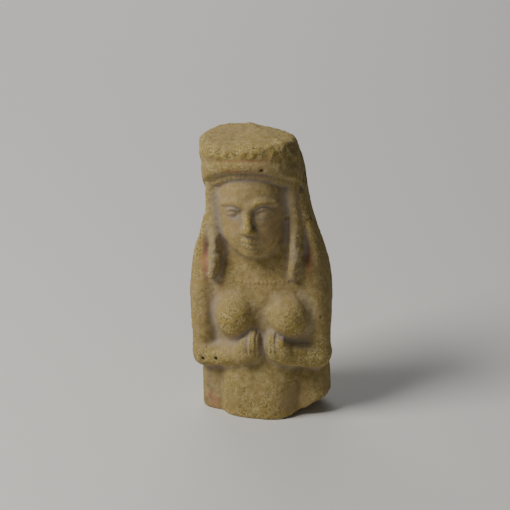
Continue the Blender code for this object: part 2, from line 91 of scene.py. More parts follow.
# Places across and in depth.
HAT_HALF_WIDTH = 16.8
HAT_X = -1.1
HAT_FRONT = -14.8
BACK = 12.0
HAT_BORDER_FRONT = HAIRLINE + 3.2
HAT_BORDER_FALL = 0.79
DIADEM_HEIGHT = 2.2
VEIL_HALF_WIDTH = 23.8
HEAD_X = -0.9
HAIR_X = 13.5
LOCK_X = 13.8
LOCKS_MIDDLE = -0.2
LOCK_SWING = -1.5
BREAST_X = 9.0
CHEST_X = 0.7
ELBOW_X = 19.9
ARMS_X = -0.9
WAIST_X = -1.3
HANDS_MEET = 1.1

# The blank and how finely it is pressed.
BLANK_SIZE = np.array([60.0, 42.0, 106.0])
BLANK_MIDDLE = np.array([-2.0, -3.0, 50.0])
BLANK_GRAIN = 1.3
SKIN_GRAINS = (0.9, 0.72, 0.45)
SPINE_FOOT = np.array([-0.5, -1.0, 12.0])
SPINE_HEAD = np.array([-5.0, -1.0, 90.0])
SPINE_SPREAD = 0.62
RAY_STEP = 0.8
HALVINGS = 6
FOOT_CUT = 0.3

SIDES = (-1, 1)

# How wide the clay's grit, grains, clumps and firing patches are, and how high they stand, in metres. The
# grit is drawn twice as coarse as it is, so that it shows.
GRIT = 0.0006
GRAIN = 0.0011
CLUMP = 0.0022
FIRING_PATCH = 0.014
GRAIN_HEIGHT = 0.0004
CLUMP_HEIGHT = 0.0006
BUMP_HEIGHT = 0.00022
RELIEF_SEED = 4.0

# The grains of sand in the crust: the widest in metres, the least as a share of it, how much the small ones
# outnumber the large, how many, and what share of its width a grain's middle lies below the skin.
SAND_SIZE = 0.0007
SAND_LEAST_SHARE = 0.4
SAND_MOSTLY_SMALL = 2.5
SAND_PER_M2 = 480000.0
SAND_SUNK = 0.25
SAND_SEED = 7

# How the crust comes and goes: its level, and how much broad and small lumps of the given sizes change it.
CRUST_LEVEL = 0.15
CRUST_LUMPS = [(7.0, 0.25, 51), (3.0, 0.2, 52)]
BARE, CRUSTED = -0.3, 0.65

# Small holes in the crust: where they are on the upright figure, and their radii. All lie inside one box.
PIT_DEPTH = 0.9
PITS_LOW = (-24, -18, 16)
PITS_HIGH = (24, 4, 94)
PITS = [
    ((4.6, -14.2, 91.7), 0.65),
    ((-20.8, -10.6, 21.5), 0.65),
    ((-15.9, -12.3, 22.3), 0.7),
    ((11.0, -7.2, 72.3), 0.5),
    ((13.0, -8.8, 45.5), 0.4),
    ((20.8, -8.5, 36.7), 0.35),
    ((21.2, -8.2, 33.1), 0.35),
]

# Where paint and stains are left on the upright figure: middle, half sizes and how strong.
RED_PAINT = [
    ((-18.4, -5.5, 56.4), (1.2, 4.0, 6.6), 0.6),
    ((17.6, -5.5, 55.6), (1.0, 4.0, 5.4), 0.65),
    ((-19.4, -9.0, 4.4), (3.0, 5.0, 4.0), 0.45),
    ((1.0, -14.8, 95.4), (13.0, 5.0, 0.5), 0.35),
    ((-4.0, -15.0, 91.6), (4.5, 3.0, 0.6), 0.45),
]
DARK_STAINS = [
    ((16.3, 3.2, 83.6), (1.4, 3.6, 4.2), 0.75),
    ((18.1, -3.0, 71.9), (1.8, 3.2, 2.6), 0.85),
    ((21.4, -0.5, 38.0), (1.0, 4.0, 8.0), 0.5),
]
# The blue-grey wash is real paint in these patches; the material strengthens it in the creases, where it is
# painted shade.
BLUE_WASH_AND_CREASE_SHADE = [
    ((-1.0, -12.0, 89.4), (17.0, 6.0, 3.2), 1.0),
    ((11.2, -8.0, 79.0), (1.0, 4.0, 8.0), 0.4),
    ((-12.8, -8.0, 76.0), (1.2, 4.0, 8.0), 0.4),
    ((-19.0, -9.0, 9.0), (3.6, 5.0, 10.0), 0.9),
]

# Where the crust is thick and where the skin is clean: middle, half sizes and how much is added.
CRUST_PATCHES = [
    ((-8.5, -15.0, BREAST_LINE - 2.0), (6.5, 6.0, 7.0), 0.5),
    ((12.0, -13.5, BREAST_LINE - 1.0), (5.5, 6.0, 7.5), 0.5),
    ((-15.0, -10.0, ELBOW_LINE + 1.0), (8.0, 7.0, 4.5), 0.4),
    ((14.0, -10.0, ELBOW_LINE + 1.0), (10.0, 7.0, 4.5), 0.3),
    ((-1.0, -14.0, 3.0), (11.0, 4.0, 5.0), 0.4),
    ((0.0, -12.0, 98.0), (17.0, 6.0, 3.0), 0.4),
    ((HEAD_X, -17.5, NOSE_BASE + 1.5), (1.8, 2.5, 2.6), 0.6),
    ((HEAD_X, -12.0, EYE_LINE + 1.0), (10.5, 6.5, 5.0), -0.6),
    ((HEAD_X, -12.0, EYE_LINE), (12.0, 6.5, 14.0), -0.25),
    ((-19.0, -9.0, 10.0), (4.0, 6.0, 9.0), -0.4),
]

# Colours.
BUFF_CLAY = "#B3A06E"
BUFF_CLAY_DARK = "#84744C"
PINK_CLAY = "#AF9470"
SAND_LIGHT = "#BFAE77"
SAND_DARK = "#826F45"
SAND_OCHRE = "#9F894C"
PORE_BROWN = "#5D4928"
CREASE_GREY = "#9C9184"
# Blue-grey of the wash, which in the creases is painted shade.
BLUE_GREY_AND_CREASE_SHADE = "#6E7179"
RED_OCHRE = "#AC5C4E"
STAIN_BROWN = "#4C3A26"
# Painted shade: the nearly black inside of the small holes.
PIT_SHADE = "#1E1710"
PAPER = "#DEDCD8"
ROOM_LIGHT = "#DDE4EC"

# The view and the light, in degrees, metres and watts.
CAMERA_AZIMUTH = 10.0
CAMERA_ELEVATION = 23.0
CAMERA_DISTANCE = 0.95
FRAME_WIDTH = 0.1743
FIGURE_MIDDLE = (-0.0004, 0.0028, 0.0485)
AIM_RIGHT = -0.0023
AIM_UP = 0.0063
FLOOR_SIZE = 4.0
LIGHT_AIM = (0, 0, 0.05)
LIGHT_DISTANCE = 0.8
KEY_AZIMUTH = -55.0
KEY_ELEVATION = 46.0
KEY_SIZE = 0.35
KEY_POWER = 6.2
KEY_TINT = (1.0, 0.98, 0.94)
ROOM_STRENGTH = 0.10
BACK_AZIMUTH = 200.0
BACK_ELEVATION = 30.0
BACK_SIZE = 0.6
BACK_POWER = 2.0
BACK_TINT = (1.0, 1.0, 1.0)

# Sockets that go by number, because their names repeat: of a map range node and of a colour mix node.
VALUE, FROM_MIN, FROM_MAX, TO_MIN, TO_MAX = range(5)
SHARE, UNDER, OVER = 0, 6, 7

# Almost all of a noise lies between these.
NOISE_LOW, NOISE_HIGH = 0.36, 0.64


def smooth_min(a, b, blend):
    """The smaller of two distances, with the crease between them filled over a width of blend."""
    overlap = np.maximum(blend - np.abs(a - b), 0.0) / blend
    return np.minimum(a, b) - overlap * overlap * blend / 4


def smooth_max(a, b, blend):
    return -smooth_min(-a, -b, blend)


def fade(value, start, end):
    """Rises from 0 at start to 1 at end, also where end lies below start."""
    return np.clip((value - start) / (end - start), 0.0, 1.0)


def curve(at, knots, values):
    """A smooth curve that passes through the values at the knots."""
    knots = np.asarray(knots, float)
    values = np.asarray(values, float)
    slope = np.gradient(values, knots)
    at = np.clip(at, knots[0], knots[-1])
    i = np.clip(np.searchsorted(knots, at) - 1, 0, len(knots) - 2)
    step = knots[i + 1] - knots[i]
    t = (at - knots[i]) / step
    start = (1 + 2 * t) * (1 - t) ** 2 * values[i] + t * (1 - t) ** 2 * step * slope[i]
    end = t * t * (3 - 2 * t) * values[i + 1] + t * t * (t - 1) * step * slope[i + 1]
    return start + end


def lumps(points, size, seed):
    """Soft unevenness from -1 to 1 whose lumps are size across: values on a lattice, blended between."""
    place = points / size + seed * 17.31
    cell = np.floor(place).astype(np.int64)
    part = place - cell
    part = part * part * (3 - 2 * part)
    total = np.zeros(len(points))
    for corner in range(8):
        offset = np.array([corner & 1, corner >> 1 & 1, corner >> 2 & 1])
        key = (cell + offset) @ np.array([73856093, 19349663, 83492791])
        key = (key ^ (key >> 13)) * 1274126177 & 0x7FFFFFFF
        weight = np.prod(np.where(offset, part, 1 - part), axis=1)
        total += weight * (key % 65536 / 32768 - 1)
    return total


class Form:
    """A shape: the box that it lies in and its distance function."""

    def __init__(self, low, high, distance):
        self.low = np.array(low, float)
        self.high = np.array(high, float)
        self.distance = distance


def ellipsoid(centre, radii, roll=0.0):
    """An egg shape, rolled about Y by roll degrees."""
    centre = np.array(centre, float)
    radii = np.array(radii, float)
    c, s = math.cos(math.radians(roll)), math.sin(math.radians(roll))
    turn = np.array([[c, 0, s], [0, 1, 0], [-s, 0, c]])

    def distance(points):
        local = (points - centre) @ turn
        k0 = np.linalg.norm(local / radii, axis=1)
        k1 = np.linalg.norm(local / radii**2, axis=1)
        return k0 * (k0 - 1) / np.maximum(k1, 1e-6)

    return Form(centre - radii.max(), centre + radii.max(), distance)


def limb(points, radii, depth=1.0):
    """A round roll of clay through points, with a radius at each. depth stretches its section in Y."""
    path = np.array(points, float)
    radii = np.array(radii, float)
    stretch = np.array([1.0, 1.0 / depth, 1.0])

    def distance(at):
        nearest = np.full(len(at), np.inf)
        for a, b, radius_a, radius_b in zip(path[:-1], path[1:], radii[:-1], radii[1:]):
            from_a, along = (at - a) * stretch, (b - a) * stretch
            share = np.clip(from_a @ along / (along @ along), 0, 1)
            gap = np.linalg.norm(from_a - share[:, None] * along, axis=1)
            nearest = np.minimum(nearest, gap - radius_a - share * (radius_b - radius_a))
        return nearest

    reach = radii.max() * np.array([1.0, depth, 1.0])
    return Form(path.min(0) - reach, path.max(0) + reach, distance)


def bow(start, middle, end, radii, depth=1.0):
    """A limb along the smooth curve through three points."""
    t = np.linspace(0, 1, 9)
    shares = np.stack([(1 - t) * (1 - 2 * t), 4 * t * (1 - t), t * (2 * t - 1)], axis=1)
    return limb(shares @ np.array([start, middle, end]), shares @ np.array(radii), depth)


def column(profile, front_square, back_square):
    """An upright body of oval sections. A row of the profile is height, middle, half width, front, back.
    The squareness of a section is 2 for an ellipse and more for a fuller corner."""
    heights, middles, half_widths, fronts, backs = np.array(profile, float).T

    def distance(points):
        x, y, z = points.T
        half_width, middle_x = curve(z, heights, half_widths), curve(z, heights, middles)
        front, back = curve(z, heights, fronts), curve(z, heights, backs)
        middle, half_depth = (front + back) / 2, (back - front) / 2
        n = np.where(y < middle, front_square, back_square)
        u, v = np.abs(x - middle_x) / half_width, np.abs(y - middle) / half_depth
        r = np.maximum((u**n + v**n) ** (1 / n), 1e-6)
        steepness = np.hypot((u / r) ** (n - 1) / half_width, (v / r) ** (n - 1) / half_depth)
        side = (r - 1) / np.maximum(steepness, 1e-6)
        return smooth_max(side, np.maximum(heights[0] - z, z - heights[-1]), 1.5)

    low = ((middles - half_widths).min(), fronts.min(), heights[0])
    high = ((middles + half_widths).max(), backs.max(), heights[-1])
    return Form(low, high, distance)


class Clay:
    """The forms in the order in which they are put on, cut away or drawn over."""

    REACH = 3.0

    def __init__(self):
        self.steps = []

    def add(self, form, blend):
        self.steps.append((form, lambda skin, other: smooth_min(skin, other, blend), blend))

    def cut(self, form, blend):
        self.steps.append((form, lambda skin, other: smooth_max(skin, -other, blend), blend))

    def raise_by(self, relief, low, high):
        """Raises the skin inside a box by what relief gives for each point."""
        self.steps.append((Form(low, high, relief), lambda skin, height: skin - height, -self.REACH))

    def distance(self, points):
        skin = np.full(len(points), 60.0)
        for form, combine, blend in self.steps:
            reach = blend + self.REACH
            near = np.all((points > form.low - reach) & (points < form.high + reach), axis=1)
            if near.any():
                skin[near] = combine(skin[near], form.distance(points[near]))
        return skin


def add_veil(clay):
    """The veil down her back, which is the slab that the whole figure is raised from."""
    profile = [
        (BREAK_LINE, -1.0, VEIL_HALF_WIDTH - 1.6, -9.4, BACK - 0.6),
        (BREAK_LINE + 10, -1.1, VEIL_HALF_WIDTH - 1.7, -9.0, BACK - 0.2),
        (ELBOW_LINE - 5, -1.1, VEIL_HALF_WIDTH - 1.9, -7.2, BACK + 0.4),
        (ELBOW_LINE + 5, -1.1, VEIL_HALF_WIDTH - 1.2, -5.4, BACK + 0.9),
        (BREAST_LINE, -1.1, VEIL_HALF_WIDTH, -4.6, BACK + 1.2),
        (BEAD_LINE, -1.1, VEIL_HALF_WIDTH - 0.1, -4.6, BACK + 1.0),
        (CHIN - 1, -1.0, VEIL_HALF_WIDTH - 2, -4.8, BACK + 0.4),
        (CHIN + 7, -0.5, FACE_HALF_WIDTH + 6.7, -4.2, BACK),
        (EYE_LINE, -0.2, FACE_HALF_WIDTH + 4.6, -3.4, BACK),
        (HAIRLINE, -0.4, FACE_HALF_WIDTH + 3.6, -2.8, BACK + 0.2),
        (HAT_TOP - 3, -1.2, HAT_HALF_WIDTH - 2.8, -2.6, BACK - 0.6),
    ]
    clay.add(column(profile, 4.6, 2.6), 0.1)


def add_torso(clay):
    inside = 5.0
    belly = [
        (BREAK_LINE, WAIST_X - 0.9, 13.4, -13.9, inside),
        (BREAK_LINE + 8, WAIST_X - 0.7, 13.5, -14.5, inside),
        (BREAK_LINE + 15, WAIST_X - 0.3, 13.5, -14.4, inside),
        (ELBOW_LINE, WAIST_X, 13.4, -12.8, inside),
        (BREAST_LINE - 7, WAIST_X, 14.2, -11.2, inside),
    ]
    chest = [
        (ELBOW_LINE + 1, 0, 16.2, -10.4, inside),
        (BREAST_LINE - 5, 0, 17.0, -10.8, inside),
        (BREAST_LINE + 3, 0, 17.4, -10.4, inside),
        (BEAD_LINE - 1.6, 0, 18.2, -9.6, inside),
        (BEAD_LINE + 4.4, 0, 17.6, -8.6, inside),
        (CHIN, 0, 16.0, -7.8, inside),
        (CHIN + 7, 0, 13.0, -7.0, inside),
    ]
    clay.add(column(belly, 2.5, 2.4), 0.9)
    clay.add(column(chest, 2.6, 2.4), 2.0)


def add_arm(clay, side):
    shoulder = (side * 17.4 + ARMS_X, -3.6, BEAD_LINE + 4.4)
    middle = (side * 19.4 + ARMS_X, -4.0, BREAST_LINE + 7)
    elbow = (side * ELBOW_X + ARMS_X, -5.2, ELBOW_LINE + 2.4)
    clay.add(limb([shoulder, middle, elbow], [4.4, 4.6, 4.2]), 3.0)
    inner_elbow = (side * (ELBOW_X - 0.4) + ARMS_X, -6.4, ELBOW_LINE + 0.5)
    forearm = (side * 14.4 + ARMS_X / 2, -9.0, ELBOW_LINE + 1.4)
    wrist = (side * 7.6 + HANDS_MEET, -12.2, HAND_LINE - 2.2)
    clay.add(limb([inner_elbow, forearm, wrist], [3.9, 3.6, 3.4]), 2.6)


def add_breast(clay, side):
    clay.add(ellipsoid((side * BREAST_X + CHEST_X, -8.6, BREAST_LINE), (6.9, 7.3, 7.6)), 3.0)


def add_hand(clay, side):
    """A hand that comes in from the side: its fist, fingers up against the breast and the thumb by them."""
    fist_x, fingers_x = side * 4.9 + HANDS_MEET, side * 3.4 + HANDS_MEET
    clay.add(ellipsoid((fist_x, -12.2, HAND_LINE - 0.4), (4.1, 4.1, 4.2), roll=side * 8), 1.8)
    clay.add(ellipsoid((fingers_x, -12.2, HAND_LINE + 2.2), (2.7, 4.2, 4.4)), 1.5)
    heel = (side * 7.4 + HANDS_MEET, -13.6, HAND_LINE)
    thumb_tip = (side * 6.4 + HANDS_MEET, -14.6, HAND_LINE + 3.0)
    clay.add(limb([heel, thumb_tip], [1.9, 1.3], depth=1.1), 1.8)


def finger_relief(points):
    """The shallow grooves between the fingers of each hand and the row of their knuckles."""
    x, y, z = points.T
    finger_width, groove_depth, knuckle_height = 1.4, 0.34, 0.2
    across = np.abs(x - HANDS_MEET)
    on_fingers = fade(across, 5.8, 5.0) * fade(across, 0.5, 1.1)
    upright_part = fade(z, HAND_LINE - 1.6, HAND_LINE + 0.6) * fade(z, HAND_LINE + 7.0, HAND_LINE + 5.6)
    groove = np.cos(2 * math.pi * across / finger_width)
    knuckle = np.exp(-(((z - HAND_LINE - 1.6) / 1.2) ** 2))
    return (knuckle_height * knuckle + groove_depth * (groove - 1) / 2) * on_fingers * upright_part


def add_head(clay):
    skull = ellipsoid((HEAD_X, -4.0, EYE_LINE + 0.1), (FACE_HALF_WIDTH, 11.2, 17.5))
    jaw = ellipsoid((HEAD_X, -7.0, CHIN + 7.0), (9.5, 8.5, 7.6))
    chin = ellipsoid((HEAD_X, -12.6, CHIN + 2.4), (3.4, 2.9, 2.5))
    clay.add(skull, 1.6)
    clay.add(jaw, 3.0)
    clay.add(chin, 2.0)


def add_eye(clay, side):
    """A calm almond eye under an even brow."""
    x = HEAD_X + side * EYE_WIDTH * 1.04
    half = EYE_WIDTH * 0.58
    clay.cut(ellipsoid((x, -16.3, EYE_LINE + 0.4), (4.2, 2.6, 2.6), roll=side * 3), 1.8)
    brow_start = (HEAD_X + side * 1.7, -14.6, BROW_LINE + 0.3)
    brow_middle = (x - side * 0.2, -14.0, BROW_LINE + 1.3)
    brow_end = (x + side * 4.4, -11.3, BROW_LINE + 0.1)
    clay.add(bow(brow_start, brow_middle, brow_end, (0.8, 0.85, 0.5)), 1.8)
    clay.add(ellipsoid((x, -11.7, EYE_LINE), (half, 2.6, 1.7)), 0.5)
    inner, outer = (x - side * half, -13.5, EYE_LINE - 0.2), (x + side * (half + 0.4), -12.0, EYE_LINE - 0.1)
    for rise, radius in ((1.75, 0.52), (-1.5, 0.4)):
        clay.add(bow(inner, (x, -14.2, EYE_LINE + rise), outer, (0.75 * radius, radius, 0.75 * radius)), 0.5)


def add_nose(clay):
    root, bridge = (HEAD_X, -13.9, BROW_LINE), (HEAD_X, -15.4, EYE_LINE - 0.8)
    tip = (HEAD_X, -17.2, NOSE_BASE + 1.9)
    clay.add(limb([root, bridge, tip], [1.3, 1.35, 1.7]), 1.3)
    for side in SIDES:
        clay.add(ellipsoid((HEAD_X + side * 1.6, -15.7, NOSE_BASE + 1.1), (1.1, 1.5, 1.1)), 0.9)


def add_mouth(clay):
    """Closed lips, the upper with a soft dip in its middle."""
    left, right = HEAD_X - 3.5, HEAD_X + 3.5
    dip = (HEAD_X, -15.6, MOUTH_LINE + 0.45)
    for side, corner in zip(SIDES, (left, right)):
        peak = (HEAD_X + side * 1.5, -15.2, MOUTH_LINE + 0.75)
        clay.add(bow((corner, -13.7, MOUTH_LINE), peak, dip, (0.35, 0.72, 0.7)), 0.7)
    lower_start, lower_end = (left + 0.5, -13.8, MOUTH_LINE - 0.6), (right - 0.5, -13.8, MOUTH_LINE - 0.6)
    clay.add(bow(lower_start, (HEAD_X, -15.2, MOUTH_LINE - 1.3), lower_end, (0.4, 0.95, 0.4)), 0.7)
    parting_start, parting_end = (left, -14.5, MOUTH_LINE - 0.1), (right, -14.5, MOUTH_LINE - 0.1)
    clay.cut(bow(parting_start, (HEAD_X, -16.5, MOUTH_LINE - 0.25), parting_end, (0.2, 0.3, 0.2)), 0.35)


def add_hair(clay, side):
    """Hair down the side of the face, which ends in a thick lock in front of the shoulder."""
    x = side * LOCK_X + LOCKS_MIDDLE
    strand_x = side * HAIR_X + HEAD_X
    fall = [(strand_x, -4.0, HAIRLINE), (strand_x, -4.4, EYE_LINE), (x, -5.4, CHIN + 9), (x, -6.4, CHIN + 1)]
    lock = [(x, -6.8, CHIN + 6), (x + 0.1 * LOCK_SWING, -7.8, CHIN),
            (x + 0.6 * LOCK_SWING, -8.6, BEAD_LINE + 6), (x + LOCK_SWING, -8.8, BEAD_LINE + 2.4)]
    clay.add(limb(fall, [2.6, 2.6, 2.5, 2.2], depth=1.25), 2.6)
    clay.add(limb(lock, [1.9, 2.2, 1.95, 1.5], depth=1.7), 1.0)


def add_veil_edge(clay, side):
    by_face, by_arm = side * FACE_HALF_WIDTH, side * VEIL_HALF_WIDTH
    edge = [(by_face + side * 3.1, -3.0, EYE_LINE + 3), (by_face + side * 3.6, -3.3, EYE_LINE - 2),
            (by_face + side * 5.8, -3.9, CHIN + 7),
            (by_arm - side * 4.2 + ARMS_X / 2, -4.2, CHIN - 2),
            (by_arm - side * 3.4 + ARMS_X, -3.6, BEAD_LINE)]
    clay.add(limb(edge, [1.4, 1.5, 1.6, 1.7, 1.7]), 2.2)


def hat_border(y):
    """The height of the hat's lower border, which falls towards the back of the head."""
    return HAT_BORDER_FRONT - HAT_BORDER_FALL * (y - HAT_FRONT)


def add_hat(clay):
    """A low flat hat: a plain band below, a worn wreath above, and a narrow diadem under its border."""
    low, high = CHIN, HAT_TOP + 4
    body = column([(low, HAT_X, HAT_HALF_WIDTH - 0.5, HAT_FRONT + 0.3, BACK),
                   (HAIRLINE - 4, HAT_X, HAT_HALF_WIDTH, HAT_FRONT, BACK),
                   (HAIRLINE + 4, HAT_X - 0.4, HAT_HALF_WIDTH - 0.3, HAT_FRONT, BACK),
                   (high, HAT_X - 1.3, HAT_HALF_WIDTH - 1.4, HAT_FRONT, BACK)], 2.3, 2.2)
    inner = column([(low, HAT_X + 0.3, HAT_HALF_WIDTH - 1.8, HAT_FRONT + 1.9, BACK),
                    (high, HAT_X + 0.3, HAT_HALF_WIDTH - 1.4, HAT_FRONT + 1.7, BACK)], 2.1, 2.4)
    rim_levels = (-1, -0.05, 0.05, 0.36, 0.41, 0.46, 0.55, 0.85, 0.95, 2)
    rim_heights = (-0.15, -0.15, 0.05, 0.0, -0.15, -0.15, 0.05, 0.2, 0.1, 0.1)
    tick, tick_depth = 1.7, 0.06

    def hat(points):
        x, y, z = points.T
        border = hat_border(y)
        level = (z - border) / (HAT_TOP - border)
        clumps = 0.45 * lumps(points, 2.5, 11) + 0.25 * lumps(points, 1.5, 12)
        wreath = clumps * fade(level, 0.48, 0.6) * fade(y, 4, -4)
        side = body.distance(points) - curve(level, rim_levels, rim_heights) - wreath
        worn_slope = 0.26 * np.maximum(0.8 * x + 0.6 * y - 4.0, 0)
        top = z - HAT_TOP + worn_slope + 0.25 * lumps(points, 7.0, 3)
        return smooth_max(smooth_max(side, top, 2.2), (border - z) * 0.83, 0.8)

    def diadem(points):
        x, y, z = points.T
        border = hat_border(y)
        worn_tick = tick_depth * (1 + lumps(points, 4.0, 6)) * np.cos(2 * math.pi * x / tick)
        side = inner.distance(points) - worn_tick - 0.1 * lumps(points, 1.6, 8)
        under = (border - DIADEM_HEIGHT - z) * 0.83
        return smooth_max(smooth_max(side, z - HAT_TOP + 4, 1.0), under, 0.9)

    box_low = (HAT_X - HAT_HALF_WIDTH - 1, HAT_FRONT - 1, CHIN + 9.8)
    box_high = (HAT_X + HAT_HALF_WIDTH + 1, BACK + 1, HAT_TOP + 1)
    clay.add(Form(box_low, box_high, diadem), 0.3)
    clay.add(Form(box_low, box_high, hat), 0.25)


def bead_relief(points):
    """A string of small worn beads across the chest, from lock to lock."""
    x, y, z = points.T
    spacing, string_height, bead_height, half_length = 1.45, 0.3, 0.16, 12.8
    line = BEAD_LINE + 0.006 * x * x
    beads = string_height + bead_height * np.cos(2 * math.pi * x / spacing) + 0.14 * lumps(points, 2.4, 14)
    return np.exp(-(((z - line) / 0.65) ** 2)) * beads * fade(np.abs(x + 0.8), half_length, half_length - 1.5)


def lock_relief(points):
    """The worn waves of the long locks."""
    x, y, z = points.T
    wave_height, relief = 3.3, 0.07
    across = np.abs(x - LOCKS_MIDDLE - LOCK_SWING * fade(z, CHIN, BEAD_LINE + 2))
    on_lock = fade(across, LOCK_X - 2.8, LOCK_X - 1.8) * fade(across, LOCK_X + 3.0, LOCK_X + 2.0)
    below_jaw = fade(z, CHIN + 7, CHIN + 3)
    waves = relief * np.cos(2 * math.pi * (z + 0.5 * across) / wave_height) + 0.32 * lumps(points, 2.3, 4)
    return waves * on_lock * below_jaw


def wear(points):
    """What hand and time did to the whole skin, and the hand's broad strokes down the back."""
    behind = fade(points[:, 1], 2, 10)
    strokes = 0.35 * lumps(points * np.array([1.0, 1.0, 0.4]), 9.0, 7) * behind
    return -0.22 * lumps(points, 8.0, 2) - 0.1 * lumps(points, 3.2, 9) - strokes


def whole_figure():
    clay = Clay()
    add_veil(clay)
    add_torso(clay)
    for side in SIDES:
        add_arm(clay, side)
        add_breast(clay, side)
    for side in SIDES:
        add_hand(clay, side)
    add_head(clay)
    for side in SIDES:
        add_eye(clay, side)
    add_nose(clay)
    add_mouth(clay)
    for side in SIDES:
        add_hair(clay, side)
        add_veil_edge(clay, side)
    add_hat(clay)
    clay.raise_by(finger_relief, (-8, -20, HAND_LINE - 4), (10, -10, HAND_LINE + 8))
    clay.raise_by(bead_relief, (-14, -20, BEAD_LINE - 3), (14, 0, BEAD_LINE + 3))
    clay.raise_by(lock_relief, (-19, -16, BEAD_LINE - 2), (18, -6.5, CHIN + 7))
    clay.raise_by(wear, (-HAT_TOP,) * 3, (2 * HAT_TOP,) * 3)
    return clay


def upright(points):
    """Points of the leaning figure, turned back into its own upright frame."""
    c, s = math.cos(LEAN), math.sin(LEAN)
    x, y, z = points.T
    return np.stack([x * c + z * s, y, z * c - x * s], axis=1)


def standing_figure(clay, points):
    """The leaning figure, cut off at the face that it stands on and broken away higher at its left hip."""
    x, y, z = points.T
    chip_start, chip_rise, chip_turn = 6.0, 0.31, 0.25
    skin = clay.distance(upright(points))
    rise = chip_rise * np.maximum(x - chip_start - chip_turn * (y + 8), 0) ** 1.2
    rise += 0.3 * lumps(points, 3.0, 5) * fade(rise, 0.4, 1.5)
    skin = smooth_max(skin, rise - z, 0.8)
    return smooth_max(skin, -z, 0.6)


def get_points(mesh):
    flat = np.empty(len(mesh.vertices) * 3, np.float32)
    mesh.vertices.foreach_get("co", flat)
    return flat.reshape(-1, 3).astype(float)


def set_points(mesh, points):
    mesh.vertices.foreach_set("co", points.astype(np.float32).ravel())
    mesh.update()


def keep_result(obj):
    """Makes what the object's modifier gives its own mesh."""
    depsgraph = bpy.context.evaluated_depsgraph_get()
    mesh = bpy.data.meshes.new_from_object(obj.evaluated_get(depsgraph))
    obj.modifiers.clear()
    old = obj.data
    obj.data = mesh
    bpy.data.meshes.remove(old)


def even_skin(obj, grain):
    """Gives the object an even skin of square faces, grain across."""
    remesh = obj.modifiers.new("even_skin", "REMESH")
    remesh.mode = "VOXEL"
    remesh.voxel_size = grain
    keep_result(obj)


def make_blank(collection):
    """The block of clay that the figure is pressed from."""
    bm = bmesh.new()
    bmesh.ops.create_cube(bm, size=1.0)
    bmesh.ops.scale(bm, vec=BLANK_SIZE, verts=bm.verts)
    bmesh.ops.translate(bm, vec=BLANK_MIDDLE, verts=bm.verts)
    mesh = bpy.data.meshes.new("figurine_blank")
    bm.to_mesh(mesh)
    bm.free()
    blank = bpy.data.objects.new("figurine", mesh)
    collection.objects.link(blank)
    even_skin(blank, BLANK_GRAIN)
    return blank


def press(obj, distance):
    """Moves each point of the blank in, towards a ribbon that stands in the figure, up to the form."""
    start = get_points(obj.data)
    spine = SPINE_HEAD - SPINE_FOOT
    share = np.clip((start - SPINE_FOOT) @ spine / (spine @ spine), 0, 1)
    target = SPINE_FOOT + share[:, None] * spine
    target[:, 0] += SPINE_SPREAD * (start[:, 0] - target[:, 0]) * fade(start[:, 2], -2, 8)
    ray = target - start
    length = np.linalg.norm(ray, axis=1)
    ray /= length[:, None]
    met = np.zeros(len(start))
    moving = np.ones(len(start), bool)
    while moving.any():
        moving[moving] = distance(start[moving] + ray[moving] * met[moving, None]) > 0
        moving &= met < length
        met[moving] += RAY_STEP
    outside, inside = np.maximum(met - RAY_STEP, 0), met
    for _ in range(HALVINGS):
        middle = (outside + inside) / 2
        is_in = distance(start + ray * middle[:, None]) < 0
        inside = np.where(is_in, middle, inside)
        outside = np.where(is_in, outside, middle)
    set_points(obj.data, start + ray * inside[:, None])


def slope_at(points, distance):
    """Which way and how fast the distance grows."""
    probe = 0.15
    here = distance(points)
    return np.stack([distance(points + probe * axis) - here for axis in np.eye(3)], axis=1) / probe


def settle(obj, distance, times):
    """Moves each point along the slope of the distance, on to the form's skin."""
    longest = 0.8
    for _ in range(times):
        points = get_points(obj.data)
        slope = slope_at(points, distance)
        move = -distance(points)[:, None] * slope / np.maximum((slope**2).sum(axis=1), 0.25)[:, None]
        size = np.linalg.norm(move, axis=1, keepdims=True)
        set_points(obj.data, points + move * np.minimum(1, longest / np.maximum(size, 1e-9)))


def drop_crumbs(obj):
    """Keeps the largest body of the mesh and removes any crumb beside it or bubble in it."""
    bm = bmesh.new()
    bm.from_mesh(obj.data)
    unseen = set(bm.verts)
    bodies = []
    while unseen:
        body = {unseen.pop()}
        edge_of_body = list(body)
        while edge_of_body:
            vert = edge_of_body.pop()
            new = {edge.other_vert(vert) for edge in vert.link_edges} & unseen
            unseen -= new
            body |= new
            edge_of_body.extend(new)
        bodies.append(body)
    bodies.sort(key=len)
    for crumb in bodies[:-1]:
        bmesh.ops.delete(bm, geom=list(crumb), context="VERTS")
    bm.to_mesh(obj.data)
    bm.free()


def cut_flat(obj):
    """Cuts the underside to one plane and closes it, so that the piece stands flat."""
    bm = bmesh.new()
    bm.from_mesh(obj.data)
    everything = list(bm.verts) + list(bm.edges) + list(bm.faces)
    plane = {"plane_co": (0, 0, FOOT_CUT), "plane_no": (0, 0, 1)}
    bmesh.ops.bisect_plane(bm, geom=everything, clear_inner=True, **plane)
    rim = [edge for edge in bm.edges if edge.is_boundary]
    bmesh.ops.holes_fill(bm, edges=rim)
    bmesh.ops.triangulate(bm, faces=[face for face in bm.faces if len(face.verts) > 4])
    bmesh.ops.recalc_face_normals(bm, faces=bm.faces)
    bm.to_mesh(obj.data)
    bm.free()


def patches_at(points, patches):
    """What the patches add at each point, with soft edges."""
    total = np.zeros(len(points))
    for middle, half_sizes, strength in patches:
        away = np.linalg.norm((points - np.array(middle)) / np.array(half_sizes), axis=1)
        total += strength * fade(away, 1.2, 0.5)
    return total


